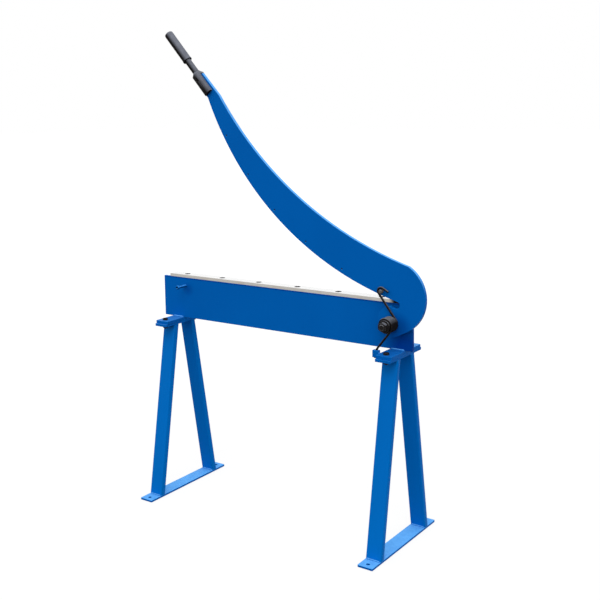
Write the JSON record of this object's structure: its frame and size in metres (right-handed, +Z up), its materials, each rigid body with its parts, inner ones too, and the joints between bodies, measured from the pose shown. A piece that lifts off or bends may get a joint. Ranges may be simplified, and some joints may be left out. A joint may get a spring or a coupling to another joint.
{
  "type": "lever guillotine shear",
  "caption": "Bench shear for sheet metal: a scimitar lever arm with a curved blade pivots on a plate beam, held open by a coil spring, on two A-frame stands.",
  "frame": {"origin": "on the floor, at the centre of the shear's footprint: midway between the beam's left end and the arm's heel, and midway between the ends of the foot bars", "axes": "+X along the beam from the handle side to the pivot, -Y towards the operator, +Z up"},
  "size_m": [1.2204, 0.488, 1.9109],
  "materials": {
    "blue_paint": "semi-gloss blue enamel over flat bar and tube",
    "blue_tube": "semi-gloss blue enamel on the leg tubes",
    "ground_steel": "ground tool steel, lightly oiled",
    "turned_steel": "turned steel, hidden faces",
    "black_oxide": "black oxide on hardened fasteners",
    "black_handle": "matte charcoal finish on the handle's socket and rod",
    "spring_steel": "oil-tempered spring wire, blackened",
    "bronze": "bearing bronze",
    "grip_plastic": "matte charcoal sleeve"
  },
  "bodies": {
    "frame": {"arm_stop_screw": "blue_paint", "beam_plate": "blue_paint", "bed_flange": "blue_paint", "left_foot_bar": "blue_paint", "left_front_foot_bolt": "black_oxide", "left_front_foot_nut": "black_oxide", "left_front_leg": "blue_tube", "left_rear_foot_bolt": "black_oxide", "left_rear_foot_nut": "black_oxide", "left_rear_leg": "blue_tube", "left_shear_foot": "blue_paint", "left_stand_top_plate": "blue_paint", "lower_blade": "ground_steel", "lower_blade_screw_1": "black_oxide", "lower_blade_screw_2": "black_oxide", "lower_blade_screw_3": "black_oxide", "lower_blade_screw_4": "black_oxide", "lower_blade_screw_5": "black_oxide", "lower_blade_screw_6": "black_oxide", "pivot_bolt": "black_oxide", "pivot_front_washer": "black_oxide", "pivot_nut": "black_oxide", "pivot_rear_washer": "black_oxide", "pivot_sleeve": "black_oxide", "return_spring": "spring_steel", "right_foot_bar": "blue_paint", "right_front_foot_bolt": "black_oxide", "right_front_foot_nut": "black_oxide", "right_front_leg": "blue_tube", "right_rear_foot_bolt": "black_oxide", "right_rear_foot_nut": "black_oxide", "right_rear_leg": "blue_tube", "right_shear_foot": "blue_paint", "right_stand_top_plate": "blue_paint", "spring_lug": "blue_paint", "thrust_spacer": "turned_steel"},
    "arm": {"arm_plate": "blue_paint", "handle_grip": "grip_plastic", "handle_rod": "black_handle", "handle_set_screw": "black_oxide", "handle_socket": "black_handle", "pivot_bush": "bronze", "spring_hook_bolt": "black_oxide", "upper_blade": "ground_steel", "upper_blade_screw_1": "black_oxide", "upper_blade_screw_2": "black_oxide", "upper_blade_screw_3": "black_oxide", "upper_blade_screw_4": "black_oxide", "upper_blade_screw_5": "black_oxide"}
  },
  "joints": [
    {"name": "arm_pivot", "type": "hinge", "parent": "frame", "child": "arm", "pos_m": [0.47925, -0.0236, 0.8325], "axis": [0, -1, 0], "range_deg": [0, 39], "stiffness_Nm_per_rad": 50, "springref_deg": -103.13, "deforming": ["return_spring"]}
  ]
}
